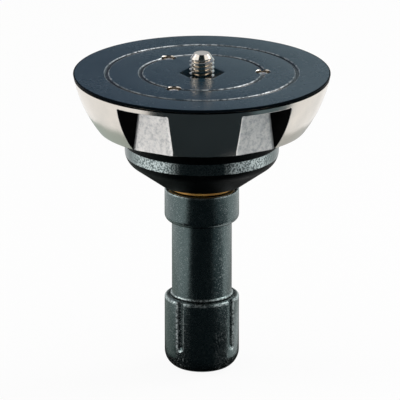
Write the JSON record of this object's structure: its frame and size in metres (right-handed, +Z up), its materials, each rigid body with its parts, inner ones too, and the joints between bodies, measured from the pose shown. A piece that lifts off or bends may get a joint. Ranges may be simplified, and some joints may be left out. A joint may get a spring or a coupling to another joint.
{
  "type": "half ball adapter",
  "caption": "Half ball levelling adapter: flat turned plate with a camera stud over a truncated ball, clamped in a tripod bowl by a cup and a screw handle below.",
  "frame": {"origin": "middle of the grip's flat foot, on the main axis", "axes": "+Z up the main axis towards the camera stud; -Y is the side that the picture looks at; +X is to its right"},
  "size_m": [0.0984, 0.0984, 0.1258],
  "materials": {
    "ball_alloy": "turned and satin polished, pockets as cast",
    "plate_dark": "dark blue-grey satin, turned",
    "bright_steel": "bright nickel-plated",
    "zinc_steel": "zinc plated",
    "washer_brass": "plain turned brass",
    "black_moulding": "black moulding with a fine rough texture",
    "black_coated_bar": "black powder coat"
  },
  "bodies": {
    "ball": {"half_ball": "ball_alloy", "top_plate": "plate_dark", "tie_rod": "bright_steel", "tie_rod_washer": "zinc_steel", "tie_rod_nut": "zinc_steel", "plate_screw_1": "zinc_steel", "plate_screw_2": "zinc_steel", "plate_screw_3": "zinc_steel", "rod_stop_washer": "zinc_steel", "rod_stop_screw": "zinc_steel"},
    "cup": {"clamp_cup": "black_moulding", "cup_bush": "zinc_steel", "thrust_washer": "washer_brass"},
    "handle": {"handle_collar": "black_moulding", "handle_nut": "zinc_steel", "handle_stem": "black_coated_bar", "grip_sleeve": "black_moulding", "grip_screw": "zinc_steel"},
    "set_screw_a": {"set_screw_1": "bright_steel"},
    "set_screw_b": {"set_screw_2": "bright_steel"},
    "set_screw_c": {"set_screw_3": "bright_steel"}
  },
  "joints": [
    {"name": "clamp_travel", "type": "slide", "parent": "ball", "child": "cup", "axis": [0, 0, -1], "range_m": [0, 0.01925]},
    {"name": "handle_turn", "type": "hinge", "parent": "cup", "child": "handle", "pos_m": [0, 0, 0.0721], "axis": [0, 0, -1], "range_deg": [0, 3960]},
    {"name": "set_screw_1_lift", "type": "slide", "parent": "ball", "child": "set_screw_a", "axis": [0, 0, 1], "range_m": [0, 0.002]},
    {"name": "set_screw_2_lift", "type": "slide", "parent": "ball", "child": "set_screw_b", "axis": [0, 0, 1], "range_m": [0, 0.002]},
    {"name": "set_screw_3_lift", "type": "slide", "parent": "ball", "child": "set_screw_c", "axis": [0, 0, 1], "range_m": [0, 0.002]}
  ],
  "couplings": [
    {"joint": "clamp_travel", "follows": "handle_turn", "m_per_rad": 0.00027852}
  ]
}
